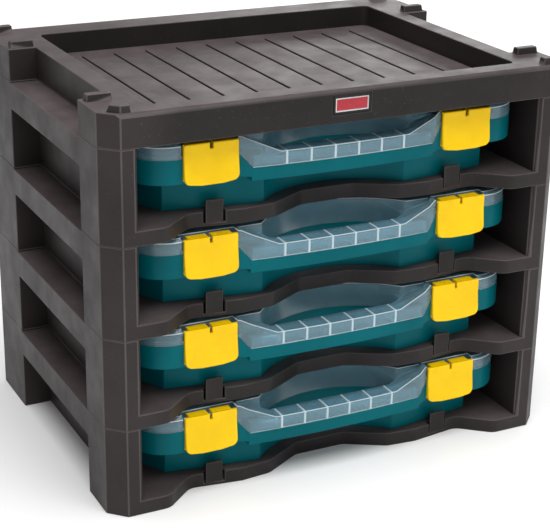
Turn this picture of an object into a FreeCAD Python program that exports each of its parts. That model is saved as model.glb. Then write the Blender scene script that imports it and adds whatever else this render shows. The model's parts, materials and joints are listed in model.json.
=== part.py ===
"""A rack of stacked shelf modules with a top tray, holding small-parts organiser cases.

The rack stands on the plane z = 0, centred on the z axis, with its open front towards -Y.
Four equal shelf modules are clipped on one another, and the tray closes the top one.
Each module holds one case: a base, a clear lid with half of the handle, and two latches.
"""

import FreeCAD
import Part
import math
import os
import re
import Sketcher

LEVELS = 4
PLANKS = 11
HANDLE_RIBS = 6
COLUMN_FACETS = 5
LID_FACETS = 7
LEFT = 1
RIGHT = -1

SIZES = (
    ("rack_width", 372.0, "over the legs"),
    ("rack_depth", 270.0, "over the legs"),
    ("module_height", 69.0, "one shelf module, joint to joint"),
    ("wall", 2.5, "moulded wall of the rack"),
    ("corner_chamfer", 12.6, "outer corner of every leg"),
    ("front_leg_depth", 48.0, "front leg along the side"),
    ("rear_leg_depth", 67.0, "rear leg along the side"),
    ("rear_leg_width", 48.0, "rear leg along the back"),
    ("side_recess", 22.0, "side panel behind the legs"),
    ("back_recess", 13.5, "back panel behind the legs"),
    ("leg_edge", 2.5, "inner front edge of a front leg"),
    ("floor_rise", 11.0, "top of a shelf above its joint"),
    ("web_root", 1.0, "depth that a web is rooted in its wall"),
    ("beam_height", 20.5, "rail along the top of a side"),
    ("beam_drop", 1.5, "rail below the joint"),
    ("lug_height", 5.0, "stacking lug on a leg"),
    ("lug_depth", 7.5, "stacking lug, front to back"),
    ("lug_gap", 0.4, "lug inside the leg above it"),
    ("lug_taper", 8.0, "draft of a lug, degrees"),
    ("corner_land", 20.6, "straight part of a shelf edge beside a leg"),
    ("step_run", 24.0, "slope from the land back to the notch"),
    ("notch_back", 20.0, "shelf edge behind a latch"),
    ("crest_shift", 27.5, "crest of the shelf edge, inwards of a latch"),
    ("crest_back", 14.3, "crest of the shelf edge behind the front"),
    ("shoulder_inset", 8.0, "shoulder of the shelf edge inside the end of the grip"),
    ("shoulder_back", 16.5, "shoulder of the shelf edge behind the front"),
    ("valley_share", 0.4, "middle of the shelf edge, of the way to the shoulder"),
    ("valley_back", 34.0, "middle of the shelf edge behind the front"),
    ("wave_round", 12.0, "rounding of the shelf edge"),
    ("tongue_shift", 5.5, "stop tongue, inwards of a latch"),
    ("tongue_width", 13.5, "stop tongue"),
    ("tongue_rise", 8.5, "stop tongue above the shelf"),
    ("tongue_seat", 2.5, "root of a tongue above the joint"),
    ("tongue_slot", 1.3, "slot beside a tongue"),
    ("tongue_relief", 2.0, "room behind a tongue"),
    ("tray_height", 24.5, "tray over its joint"),
    ("tray_chamfer", 2.5, "top front edge of the tray"),
    ("basin_depth", 17.0, "tray's well"),
    ("basin_round", 5.0, "upright corners of the well"),
    ("rim_side", 15.5, "rim of the tray at the sides"),
    ("rim_front", 18.0, "rim of the tray at the front"),
    ("rim_back", 27.0, "rim of the tray at the back"),
    ("plank_height", 1.4, "raised plank in the well"),
    ("plank_groove", 2.2, "groove between two planks"),
    ("plank_border_back", 13.0, "flat border behind the planks"),
    ("plank_border_front", 5.0, "flat border before the planks"),
    ("plank_bow", 5.0, "tapered rear end of a plank"),
    ("plank_shoulder", 6.0, "slanted corner of that end"),
    ("label_width", 30.0, "blank plate on the tray's front"),
    ("label_height", 13.5, "blank plate on the tray's front"),
    ("label_thick", 1.2, "blank plate on the tray's front"),
    ("label_drop", 4.5, "blank plate below the tray's top"),
    ("label_gap", 0.2, "round the blank plate"),
    ("side_gap", 5.0, "between a case and the side panels"),
    ("rear_gap", 9.3, "between a case and the back panel"),
    ("lift_gap", 4.0, "between a case and the joint above it"),
    ("skin", 2.0, "moulded wall of a case"),
    ("belt_set", 12.7, "front of a case behind the rack's front"),
    ("corner_round", 28.0, "front corners of a case"),
    ("rear_round", 14.0, "rear corners of a case"),
    ("lid_depth", 11.5, "lid over the base"),
    ("lid_chamfer", 2.5, "top edge of the lid"),
    ("belt_depth", 18.0, "skirt round the top of the base"),
    ("box_inset", 9.0, "lower box inside the skirt"),
    ("lobe_inset", 24.5, "outer end of a front lobe, from the case's side"),
    ("lobe_set", 10.3, "outer end of a front lobe, behind its nose"),
    ("lobe_corner", 30.0, "slanted front corner of the lower box"),
    ("nose_width", 8.0, "nose of a front lobe"),
    ("nose_inset", 2.0, "nose of a lobe inside the end of the grip"),
    ("nose_edge", 3.0, "corner of that nose"),
    ("rib_thick", 1.6, "moulded rib in the base"),
    ("column_inset", 11.5, "rib in the base inside the end of the grip"),
    ("handle_gap", 8.7, "between a latch and the handle"),
    ("handle_set", 8.0, "ends of the handle behind the rack's front"),
    ("handle_bow", 3.0, "handle bowed to the front"),
    ("handle_depth", 11.5, "handle at its ends, front to back"),
    ("handle_drop", 11.2, "parting line lowered at the handle"),
    ("handle_sag", 3.0, "handle below the skirt"),
    ("handle_cap", 10.2, "lid's half of the handle"),
    ("dip_run", 28.0, "slope from the lid down to the handle"),
    ("dip_end", 6.0, "start of that slope past the handle"),
    ("grip_inset", 14.0, "grip opening inside the handle's ends"),
    ("grip_reach", 27.5, "grip opening, front to back"),
    ("grip_skirt", 7.5, "lid's wall behind the grip, below the parting line"),
    ("part_gap", 0.3, "between that wall and the base"),
    ("handle_rib", 1.5, "rib inside the handle"),
    ("rib_inset", 26.5, "outer rib inside the end of the handle"),
    ("latch_inset", 53.0, "middle of a latch from the case's side"),
    ("latch_width", 41.6, "latch"),
    ("latch_thick", 2.4, "latch plate"),
    ("latch_gap", 0.3, "latch plate and hook off the case"),
    ("latch_drop", 1.0, "top of a latch below the lid"),
    ("latch_corner", 3.0, "lower corners of a latch"),
    ("latch_bow", 1.5, "lower edge of a latch, raised at its ends"),
    ("latch_bow_run", 9.0, "raised end of that edge"),
    ("latch_slit", 3.4, "slit in the top of a latch"),
    ("slit_depth", 8.0, "slit in the top of a latch"),
    ("hook_thick", 1.3, "hook of a latch"),
    ("hook_reach", 1.5, "hook under the skirt"),
    ("clip_width", 33.6, "clip of a latch"),
    ("pull_width", 32.0, "finger pull of a latch"),
    ("pull_height", 21.0, "finger pull of a latch"),
    ("pull_reach", 2.2, "finger pull of a latch"),
    ("pin_diameter", 3.0, "latch pin and hinge pin"),
    ("pin_play", 0.2, "bore over pin"),
    ("pin_set", 3.2, "latch pin behind the case's front"),
    ("pin_drop", 4.0, "latch pin below the lid's top"),
    ("barrel_wall", 1.4, "clip round a pin"),
    ("clip_mouth", 2.4, "mouth of the clip round the latch pin"),
    ("niche_gap", 0.5, "beside a latch"),
    ("niche_depth", 8.0, "niche for a latch, front to back"),
    ("niche_floor", 1.8, "floor of that niche"),
    ("knuckle_width", 84.0, "lid's hinge knuckle"),
    ("knuckle_gap", 0.4, "beside a knuckle"),
    ("ear_thick", 3.0, "base's hinge ear"),
    ("hinge_set", 3.8, "hinge axis behind the case"),
    ("overrun", 6.0, "a cut past the face that it opens"),
    ("same_place", 0.05, "two edges nearer than this are one"),
)

TONGUE_SLOPE = "(notch_back - crest_back) / (notch_x - crest_x)"

PLACES = (
    ("side_half", "rack_width / 2"),
    ("front", "-rack_depth / 2"),
    ("back", "rack_depth / 2"),
    ("panel_out", "side_half - side_recess"),
    ("bay_half", "panel_out - wall"),
    ("bay_back", "back - back_recess - wall"),
    ("case_half", "bay_half - side_gap"),
    ("latch_x", "case_half - latch_inset"),
    ("step_x", "bay_half - corner_land"),
    ("notch_x", "step_x - step_run"),
    ("crest_x", "latch_x - crest_shift"),
    ("tongue_x", "latch_x - tongue_shift"),
    ("tongue_y", "front + crest_back + (tongue_x - crest_x) * " + TONGUE_SLOPE),
    ("tray_level", "module_height * %d" % LEVELS),
    ("basin_half", "panel_out - rim_side"),
    ("basin_front", "front + rim_front"),
    ("basin_back", "back - rim_back"),
    ("basin_floor", "tray_height - basin_depth"),
    ("plank_pitch", "(2 * basin_half - plank_groove) / %d" % PLANKS),
    ("plank_width", "plank_pitch - plank_groove"),
    ("label_sink", "label_thick"),
    ("case_high", "module_height - floor_rise - lift_gap"),
    ("parting", "case_high - lid_depth"),
    ("belt_low", "parting - belt_depth"),
    ("belt_y", "front + belt_set"),
    ("rear_y", "bay_back - rear_gap"),
    ("box_half", "case_half - box_inset"),
    ("box_rear", "rear_y - box_inset"),
    ("handle_half", "latch_x - latch_width / 2 - handle_gap"),
    ("handle_y", "front + handle_set"),
    ("handle_radius", "(handle_half^2 + handle_bow^2) / (2 * handle_bow)"),
    ("handle_centre", "handle_y - handle_bow + handle_radius"),
    ("handle_part", "parting - handle_drop"),
    ("handle_low", "belt_low - handle_sag"),
    ("handle_top", "handle_part + handle_cap"),
    ("handle_end", "handle_half + handle_gap"),
    ("grip_y", "handle_y + handle_depth"),
    ("grip_half", "handle_half - grip_inset"),
    ("shoulder_x", "grip_half - shoulder_inset"),
    ("valley_half", "shoulder_x * valley_share"),
    ("rib_pitch", "2 * (handle_half - rib_inset) / %d" % (HANDLE_RIBS - 1)),
    ("grip_radius", "(grip_half^2 + grip_reach^2) / (2 * grip_reach)"),
    ("grip_centre", "grip_y + grip_reach - grip_radius"),
    ("nose_half", "grip_half - nose_inset"),
    ("nose_y", "grip_centre + sqrt(grip_radius^2 - nose_half^2)"),
    ("nose_out", "nose_half + nose_width"),
    ("lobe_x", "case_half - lobe_inset"),
    ("lobe_y", "nose_y + lobe_set"),
    ("lobe_back", "lobe_y + lobe_corner"),
    ("column_half", "grip_half - column_inset"),
    ("column_in", "column_half - rib_thick / 2"),
    ("column_out", "column_half + rib_thick / 2"),
    ("pin_y", "belt_y + pin_set"),
    ("pin_z", "case_high - pin_drop"),
    ("bore", "pin_diameter + pin_play"),
    ("barrel", "bore + 2 * barrel_wall"),
    ("plate_back", "belt_y - latch_gap"),
    ("plate_front", "plate_back - latch_thick"),
    ("latch_top", "case_high - latch_drop"),
    ("hook_top", "belt_low - latch_gap"),
    ("latch_low", "hook_top - hook_thick"),
    ("niche_half", "latch_width / 2 + niche_gap"),
    ("niche_back", "belt_y + niche_depth"),
    ("niche_out", "latch_x + niche_half + skin"),
    ("hinge_y", "rear_y + hinge_set"),
)

SIZE_NAMES = {name for name, value, note in SIZES}
PLACE_NAMES = {name for name, rule in PLACES}

document = FreeCAD.newDocument("OrganiserRack")
sizes = document.addObject("Spreadsheet::Sheet", "Sizes")
for row, (name, value, note) in enumerate(SIZES, 1):
    sizes.set("A%d" % row, name)
    sizes.set("B%d" % row, str(value))
    sizes.set("C%d" % row, note)
    sizes.setAlias("B%d" % row, name)


def bound(rule):
    """The rule with each named size or place written as a cell of its sheet."""

    def cell(match):
        word = match.group(0)
        if word in SIZE_NAMES:
            return "Sizes." + word
        if word in PLACE_NAMES:
            return "Places." + word
        return word

    return re.sub(r"[a-z][a-z_]*", cell, rule)


places = document.addObject("Spreadsheet::Sheet", "Places")
for row, (name, rule) in enumerate(PLACES, 1):
    places.set("A%d" % row, name)
    places.set("B%d" % row, "=" + bound(rule))
    places.setAlias("B%d" % row, name)
document.recompute()


def measure(rule):
    """The present value of a rule, in millimetres."""
    return float(sizes.evalExpression(bound(rule)))


def new_body(label):
    body = document.addObject("PartDesign::Body", label)
    body.Label = label
    return body


def origin_plane(body, role):
    return [feature for feature in body.Origin.OriginFeatures if feature.Role == role][0]


def new_sketch(body, name, plane, level, loops):
    """A sketch on an origin plane of the body, moved along that plane's normal to a level."""
    sketch = body.newObject("Sketcher::SketchObject", name)
    sketch.AttachmentSupport = (origin_plane(body, plane), [""])
    sketch.MapMode = "FlatFace"
    sketch.setExpression("AttachmentOffset.Base.z", bound(level))
    for loop in loops:
        draw_loop(sketch, loop)
    return sketch


def plan(body, name, level, *loops):
    """A sketch seen from above, at a height."""
    return new_sketch(body, name, "XY_Plane", level, loops)


def elevation(body, name, depth, *loops):
    """A sketch seen from the front, at a place along y. Its normal points to the front."""
    return new_sketch(body, name, "XZ_Plane", "-(%s)" % depth, loops)


def section(body, name, along, *loops):
    """A sketch in y and z, seen from the side, at a place along x."""
    return new_sketch(body, name, "YZ_Plane", along, loops)


def bind_point(sketch, edge, point, x, y):
    for kind, rule in (("DistanceX", x), ("DistanceY", y)):
        place = sketch.addConstraint(Sketcher.Constraint(kind, -1, 1, edge, point, measure(rule)))
        sketch.setExpression("Constraints[%d]" % place, bound(rule))


def bind_size(sketch, kind, edge, rule):
    place = sketch.addConstraint(Sketcher.Constraint(kind, edge, measure(rule)))
    sketch.setExpression("Constraints[%d]" % place, bound(rule))


def arc_between(start, end, radius, turn):
    """An arc from start to end with its centre on the left or on the right of that way."""
    half = (end - start) * 0.5
    across = FreeCAD.Vector(-half.y, half.x, 0).normalize() * turn
    centre = start + half + across * math.sqrt(max(radius ** 2 - half.Length ** 2, 0))
    first, last = (start, end) if turn == LEFT else (end, start)
    first_angle = math.atan2(first.y - centre.y, first.x - centre.x)
    last_angle = math.atan2(last.y - centre.y, last.x - centre.x)
    if last_angle < first_angle:
        last_angle += 2 * math.pi
    circle = Part.Circle(centre, FreeCAD.Vector(0, 0, 1), radius)
    return Part.ArcOfCircle(circle, first_angle, last_angle)


def draw_loop(sketch, corners):
    """A closed outline. A corner is (x, y), or (x, y, radius, turn) where an arc leaves it."""
    first = sketch.GeometryCount
    count = len(corners)
    spots = [FreeCAD.Vector(measure(corner[0]), measure(corner[1]), 0) for corner in corners]
    begin = []
    finish = []
    for number, corner in enumerate(corners):
        start, end = spots[number], spots[(number + 1) % count]
        if len(corner) == 2:
            sketch.addGeometry(Part.LineSegment(start, end), False)
        else:
            sketch.addGeometry(arc_between(start, end, measure(corner[2]), corner[3]), False)
        backwards = len(corner) == 4 and corner[3] == RIGHT
        begin.append(2 if backwards else 1)
        finish.append(1 if backwards else 2)
    for number in range(count):
        after = (number + 1) % count
        ends = (first + number, finish[number], first + after, begin[after])
        sketch.addConstraint(Sketcher.Constraint("Coincident", *ends))
    for number, corner in enumerate(corners):
        bind_point(sketch, first + number, begin[number], corner[0], corner[1])
        if len(corner) == 4:
            bind_size(sketch, "Radius", first + number, corner[2])


def draw_circle(sketch, x, y, diameter):
    edge = sketch.GeometryCount
    spot = FreeCAD.Vector(measure(x), measure(y), 0)
    sketch.addGeometry(Part.Circle(spot, FreeCAD.Vector(0, 0, 1), measure(diameter) / 2), False)
    bind_point(sketch, edge, 3, x, y)
    bind_size(sketch, "Diameter", edge, diameter)


def round_section(body, name, along, y, z, diameter):
    sketch = section(body, name, along)
    draw_circle(sketch, y, z, diameter)
    return sketch


def mirror_half(corners):
    """The corners of a right half, turned into the left half that goes back to its start."""
    flipped = []
    for number in reversed(range(len(corners))):
        x, y = corners[number][:2]
        arc = corners[number - 1][2:] if number else ()
        flipped.append(("-(%s)" % x, y) + tuple(arc))
    return flipped


def both_sides(half, closing=()):
    """A whole outline from its right half. The closing edge at the middle may be an arc."""
    left = mirror_half(half)
    left[-1] = left[-1] + tuple(closing)
    return list(half) + left


def eight_sided(x, y, width):
    """A regular outline of eight sides, as wide across its flats as given."""
    far = "(%s) / 2" % width
    near = "(%s) * (sqrt(2) - 1) / 2" % width
    steps = [(far, near), (near, far), ("-" + near, far), ("-" + far, near)]
    steps += [("-" + far, "-" + near), ("-" + near, "-" + far), (near, "-" + far), (far, "-" + near)]
    return [("%s + (%s)" % (x, along), "%s + (%s)" % (y, up)) for along, up in steps]


def rectangle(left, right, low, high):
    return [(left, low), (right, low), (right, high), (left, high)]


def add_feature(kind, body, name, sketch, length, midplane=False, backwards=False, taper=None):
    """A pad or pocket of a sketch, checked against the volume that it should add or take."""
    before = body.Shape.Volume if body.Tip else 0
    feature = body.newObject("PartDesign::" + kind, name)
    feature.Profile = sketch
    feature.setExpression("Length", bound(length))
    feature.Midplane = midplane
    feature.Reversed = backwards
    if taper:
        feature.setExpression("TaperAngle", bound(taper))
    document.recompute()
    change = body.Shape.Volume - before
    if (kind == "Pad") != (change > 0):
        raise RuntimeError("%s changes the volume of %s by %g" % (name, body.Label, change))
    return feature


def pad(*what, **ways):
    return add_feature("Pad", *what, **ways)


def pocket(*what, **ways):
    return add_feature("Pocket", *what, **ways)


def mirror_features(body, name, features):
    """The same features again on the other side of the middle."""
    mirrored = body.newObject("PartDesign::Mirrored", name)
    mirrored.Originals = features
    mirrored.MirrorPlane = (origin_plane(body, "YZ_Plane"), [""])
    body.Tip = mirrored
    document.recompute()


def ease_edges(kind, body, name, rule, wanted):
    """A fillet or chamfer on the edges of the body that the test picks."""
    base = body.Tip
    picked = []
    for number, edge in enumerate(base.Shape.Edges, 1):
        if len(edge.Vertexes) == 2 and wanted(edge):
            picked.append("Edge%d" % number)
    if not picked:
        raise RuntimeError("%s finds no edge on %s" % (name, body.Label))
    feature = body.newObject("PartDesign::" + kind, name)
    feature.Base = (base, picked)
    feature.setExpression("Radius" if kind == "Fillet" else "Size", bound(rule))
    document.recompute()


def upright_at(*spots):
    """A test for upright edges at the given places, on either side of the middle."""
    near = measure("same_place")
    values = [(measure(spot[0]), measure(spot[1])) for spot in spots]

    def wanted(edge):
        one, two = (vertex.Point for vertex in edge.Vertexes)
        if math.hypot(one.x - two.x, one.y - two.y) > near:
            return False
        return any(math.hypot(abs(one.x) - x, one.y - y) < near for x, y in values)

    return wanted


def level_at(height, front_limit=None):
    """A test for edges that lie at one height, all of them or those up to a place along y."""
    near = measure("same_place")
    level = measure(height)
    limit = measure(front_limit) + near if front_limit else math.inf

    def wanted(edge):
        box = edge.BoundBox
        return box.ZMin > level - near and box.ZMax < level + near and box.YMax < limit

    return wanted


def side_outline(offset):
    """Right half of the outline round both legs, drawn in by an offset from the outer faces."""
    slant = "(%s) * (sqrt(2) - 1)" % offset
    return [
        ("side_half - corner_chamfer - %s" % slant, "front + %s" % offset),
        ("side_half - %s" % offset, "front + corner_chamfer + %s" % slant),
        ("side_half - %s" % offset, "front + front_leg_depth - %s" % offset),
        ("panel_out - %s" % offset, "front + front_leg_depth - %s" % offset),
        ("panel_out - %s" % offset, "back - rear_leg_depth + %s" % offset),
        ("side_half - %s" % offset, "back - rear_leg_depth + %s" % offset),
        ("side_half - %s" % offset, "back - corner_chamfer - %s" % slant),
        ("side_half - corner_chamfer - %s" % slant, "back - %s" % offset),
    ]


def wave_outline(set_back):
    """Right half of a shelf's front edge, from its middle out to the leg."""
    return [
        ("valley_half", "front + valley_back + %s" % set_back),
        ("shoulder_x", "front + shoulder_back + %s" % set_back),
        ("crest_x", "front + crest_back + %s" % set_back),
        ("notch_x", "front + notch_back + %s" % set_back),
        ("step_x", "front + %s" % set_back),
    ]


def add_lugs(body, level):
    """Two tapered stacking lugs on every leg, which fit inside the leg above."""
    inner = "panel_out + lug_gap"
    outer = "side_half - wall - lug_gap"
    slant = "side_half - corner_chamfer - (wall + lug_gap) * (sqrt(2) - 1)"
    front_most = "front + wall + lug_gap"
    back_most = "back - wall - lug_gap"
    front_leg = "front + front_leg_depth - wall - lug_gap"
    rear_leg = "back - rear_leg_depth + wall + lug_gap"
    lugs = [
        [
            (inner, front_most),
            (slant, front_most),
            (slant + " + lug_depth", front_most + " + lug_depth"),
            (inner, front_most + " + lug_depth"),
        ],
        rectangle(inner, outer, front_leg + " - lug_depth", front_leg),
        rectangle(inner, outer, rear_leg, rear_leg + " + lug_depth"),
        [
            (inner, back_most + " - lug_depth"),
            (slant + " + lug_depth", back_most + " - lug_depth"),
            (slant, back_most),
            (inner, back_most),
        ],
    ]
    lugs += [mirror_half(lug) for lug in lugs]
    pad(body, "Lugs", plan(body, "LugOutlines", level, *lugs), "lug_height", taper="-lug_taper")


def make_shelf_module():
    """Four hollow legs, side and back panels, top rails and the shelf with its wavy lip."""
    body = new_body("shelf_module_1")
    shell = [("bay_half", "bay_back"), ("bay_half", "front")] + side_outline("0")
    shell += [
        ("side_half - rear_leg_width", "back"),
        ("side_half - rear_leg_width", "back - back_recess"),
    ]
    pad(body, "Shell", plan(body, "ShellOutline", "0", both_sides(shell)), "module_height")
    shelf = wave_outline("0")
    shelf += [("bay_half + web_root", "front"), ("bay_half + web_root", "bay_back + web_root")]
    pad(body, "Shelf", plan(body, "ShelfOutline", "0", both_sides(shelf)), "floor_rise")
    hollow = wave_outline("wall") + [("bay_half", "front + wall"), ("bay_half", "bay_back")]
    hollow_sketch = plan(body, "ShelfHollowOutline", "0", both_sides(hollow))
    pocket(body, "ShelfHollow", hollow_sketch, "floor_rise - wall", backwards=True)
    ease_edges("Fillet", body, "WaveRounding", "wave_round", upright_at(*wave_outline("0")))
    add_leg_hollows(body)
    add_rails(body)
    add_lugs(body, "module_height")
    slot = rectangle(
        "tongue_x - tongue_width / 2 - tongue_slot",
        "tongue_x + tongue_width / 2 + tongue_slot",
        "front",
        "tongue_y + wall + tongue_relief",
    )
    slot_sketch = plan(body, "TongueSlotOutlines", "tongue_seat", slot, mirror_half(slot))
    pocket(body, "TongueSlots", slot_sketch, "floor_rise - tongue_seat + overrun", backwards=True)
    ease_edges("Chamfer", body, "LegEdges", "leg_edge", upright_at(("bay_half", "front")))
    return body


def add_leg_hollows(body):
    """Legs are open below and closed above, where the next module stands on them."""
    front_leg = side_outline("wall")[:3] + [
        ("panel_out", "front + front_leg_depth - wall"),
        ("panel_out", "front + wall"),
    ]
    rear_leg = [("panel_out", "back - rear_leg_depth + wall")] + side_outline("wall")[5:] + [
        ("side_half - rear_leg_width + wall", "back - wall"),
        ("side_half - rear_leg_width + wall", "bay_back + wall"),
        ("panel_out", "bay_back + wall"),
    ]
    hollows = [front_leg, rear_leg, mirror_half(front_leg), mirror_half(rear_leg)]
    sketch = plan(body, "LegHollowOutlines", "0", *hollows)
    pocket(body, "LegHollows", sketch, "module_height - wall", backwards=True)


def rail_profile(inside, outside):
    """An angle rail: a ledge from the panel out, and a lip that hangs from its outer edge."""
    top = "module_height - beam_drop"
    return [
        (inside, top + " - wall"),
        (outside + " - wall", top + " - wall"),
        (outside + " - wall", top + " - beam_height"),
        (outside, top + " - beam_height"),
        (outside, top),
        (inside, top),
    ]


def add_rails(body):
    """Rails between the legs, along both sides and along the back."""
    side = rail_profile("panel_out - web_root", "side_half")
    start = "back - rear_leg_depth + web_root"
    side_sketch = elevation(body, "SideRailSection", start, side, mirror_half(side))
    side_length = "rack_depth - front_leg_depth - rear_leg_depth + 2 * web_root"
    pad(body, "SideRails", side_sketch, side_length)
    rear = rail_profile("back - back_recess - web_root", "back")
    rear_sketch = section(body, "BackRailSection", "0", rear)
    rear_length = "rack_width - 2 * rear_leg_width + 2 * web_root"
    pad(body, "BackRail", rear_sketch, rear_length, midplane=True)


def make_stop_tongues():
    """The two upright tongues in the shelf's lip that hold a case back."""
    tongues = []
    for name, middle in (("TongueRight", "tongue_x"), ("TongueLeft", "-tongue_x")):
        plate = document.addObject("Part::Box", name)
        plate.setExpression("Length", bound("tongue_width"))
        plate.setExpression("Width", bound("wall"))
        plate.setExpression("Height", bound("floor_rise + tongue_rise - tongue_seat"))
        plate.setExpression("Placement.Base.x", bound(middle + " - tongue_width / 2"))
        plate.setExpression("Placement.Base.y", bound("tongue_y"))
        plate.setExpression("Placement.Base.z", bound("tongue_seat"))
        tongues.append(plate)
    group = document.addObject("Part::Compound", "StopTongues")
    group.Links = tongues
    group.Label = "stop_tongues_1"
    return group


def make_top_tray():
    """The tray: corner posts, a wide rim, a sunk well with planks, and lugs on top."""
    body = new_body("top_tray")
    block = plan(body, "BlockOutline", "0", both_sides(side_outline("0")))
    pad(body, "Block", block, "tray_height")
    ease_edges("Chamfer", body, "FrontEdge", "tray_chamfer", level_at("tray_height", "front"))
    well = rectangle("-basin_half", "basin_half", "basin_front", "basin_back")
    pocket(body, "Well", plan(body, "WellOutline", "tray_height", well), "basin_depth")
    well_corners = upright_at(("basin_half", "basin_front"), ("basin_half", "basin_back"))
    ease_edges("Fillet", body, "WellCorners", "basin_round", well_corners)
    under = rectangle(
        "-basin_half - wall", "basin_half + wall", "basin_front - wall", "basin_back + wall"
    )
    ring = plan(body, "RimHollowOutline", "0", both_sides(side_outline("wall")), under)
    pocket(body, "RimHollow", ring, "tray_height - wall", backwards=True)
    under_sketch = plan(body, "WellUndersideOutline", "0", under)
    pocket(body, "WellUnderside", under_sketch, "basin_floor - wall", backwards=True)
    add_planks(body)
    add_lugs(body, "tray_height")
    seat = rectangle(
        "-label_width / 2 - label_gap",
        "label_width / 2 + label_gap",
        "tray_height - label_drop - label_height - label_gap",
        "tray_height - label_drop + label_gap",
    )
    pocket(body, "LabelSeat", elevation(body, "LabelSeatOutline", "front", seat), "label_sink")
    body.setExpression("Placement.Base.z", bound("tray_level"))
    return body


def add_planks(body):
    """A row of planks in the well, from front to back, each with a tapered rear end."""
    left = "-basin_half + plank_groove"
    right = left + " + plank_width"
    near = "basin_front + plank_border_front"
    far = "basin_back - plank_border_back - plank_bow"
    plank = [
        (left, near),
        (right, near),
        (right, far),
        (right + " - plank_shoulder", far + " + plank_bow"),
        (left + " + plank_shoulder", far + " + plank_bow"),
        (left, far),
    ]
    sketch = plan(body, "PlankOutline", "basin_floor", plank)
    first = pad(body, "Plank", sketch, "plank_height")
    planks = body.newObject("PartDesign::LinearPattern", "PlankRow")
    planks.Originals = [first]
    planks.Direction = (sketch, ["H_Axis"])
    planks.Occurrences = PLANKS
    planks.setExpression("Length", bound("plank_pitch * %d" % (PLANKS - 1)))
    body.Tip = planks
    document.recompute()


def make_label_plate():
    """A blank plate let into the front of the tray."""
    plate = document.addObject("Part::Box", "LabelPlate")
    plate.Label = "label_plate"
    plate.setExpression("Length", bound("label_width"))
    plate.setExpression("Width", bound("label_thick"))
    plate.setExpression("Height", bound("label_height"))
    plate.setExpression("Placement.Base.x", bound("-label_width / 2"))
    plate.setExpression("Placement.Base.y", bound("front + label_sink - label_thick"))
    lift = "tray_level + tray_height - label_drop - label_height"
    plate.setExpression("Placement.Base.z", bound(lift))
    return plate


def belt_outline():
    """Right half of a case's outline, from its front corner to its rear corner."""
    turn = "rear_round * sqrt(2) / 2"
    return [
        ("case_half - corner_round", "belt_y", "corner_round", LEFT),
        ("case_half", "belt_y + corner_round"),
        ("case_half", "rear_y - rear_round"),
        ("case_half - rear_round + " + turn, "rear_y - rear_round + " + turn),
        ("case_half - rear_round", "rear_y"),
    ]


def hollow_outline():
    """Right half of the inside of a case's outline, with facets for its round corners."""
    front_turn = "(corner_round - skin) * sqrt(2) / 2"
    rear_turn = "(rear_round - skin) * sqrt(2) / 2"
    return [
        ("case_half - corner_round", "belt_y + skin"),
        ("case_half - corner_round + " + front_turn, "belt_y + corner_round - " + front_turn),
        ("case_half - skin", "belt_y + corner_round"),
        ("case_half - skin", "rear_y - rear_round"),
        ("case_half - rear_round + " + rear_turn, "rear_y - rear_round + " + rear_turn),
        ("case_half - rear_round", "rear_y - skin"),
    ]


def bar_outline(inset):
    """The handle's bar from above, drawn in by an inset. Its front is bowed."""
    half = [
        ("handle_half - %s" % inset, "handle_centre - %s" % bow_height("handle_half", inset)),
        ("handle_half - %s" % inset, "grip_y - %s" % inset),
    ]
    return both_sides(half, ("handle_radius - %s" % inset, LEFT))


def bow_height(x, inset):
    """How far the handle's front lies before the centre of its bow at a place along x."""
    return "sqrt((handle_radius - %s)^2 - (%s - %s)^2)" % (inset, x, inset)


def grip_outline():
    """The grip opening behind the handle: a straight front and a round back."""
    return [("-grip_half", "grip_y"), ("grip_half", "grip_y", "grip_radius", LEFT)]


def bay_height(x, inset):
    """Where the round wall behind the grip passes a place along x, set back by an inset."""
    return "grip_centre + sqrt((grip_radius + %s)^2 - (%s)^2)" % (inset, x)


def bay_reach(y, inset):
    """Where the round wall behind the grip passes a place along y, set back by an inset."""
    return "sqrt((grip_radius + %s)^2 - (%s - grip_centre)^2)" % (inset, y)


def bay_facets(end, count):
    """Right half of the inside of the round wall behind the grip, as a row of equal facets."""
    facets = []
    for share in range(1, count + 1, 2):
        x = "(%s) * %d / %d" % (end, share, count)
        facets.append((x, bay_height(x, "skin")))
    return facets


def box_outline():
    """Right half of the lower box: a front lobe, a slanted corner and the rear corner."""
    return [
        ("nose_half", "nose_y"),
        ("nose_out", "nose_y"),
        ("lobe_x", "lobe_y"),
        ("box_half", "lobe_back"),
        ("box_half", "box_rear"),
    ]


def column_outlines():
    """The three columns of compartments, set in from the walls of the lower box."""
    rear = "box_rear - skin"
    nose = "nose_y + skin"
    middle = bay_facets("column_in", COLUMN_FACETS) + [("column_in", rear)]
    side = [
        ("column_out", bay_height("column_out", "skin")),
        (bay_reach(nose, "skin"), nose),
        ("nose_out", nose),
        ("lobe_x - skin * (sqrt(2) - 1)", "lobe_y + skin"),
        ("box_half - skin", "lobe_back"),
        ("box_half - skin", rear),
        ("column_out", rear),
    ]
    return [both_sides(middle), side, mirror_half(side)]


def skirt_outline():
    """The hollow between the skirt and the lower box, open below, round three sides."""
    inner_end = "handle_half + skin"
    lobe_front = "nose_y + lobe_set * (%s - nose_out) / (lobe_x - nose_out)" % inner_end
    outside = [(inner_end, lobe_front), (inner_end, "belt_y + skin")] + hollow_outline()
    inside = [("lobe_x", "lobe_y"), ("box_half", "lobe_back"), ("box_half", "box_rear")]
    left_inside = [("-(%s)" % x, y) for x, y in inside]
    return both_sides(outside) + left_inside + inside[::-1]


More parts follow.
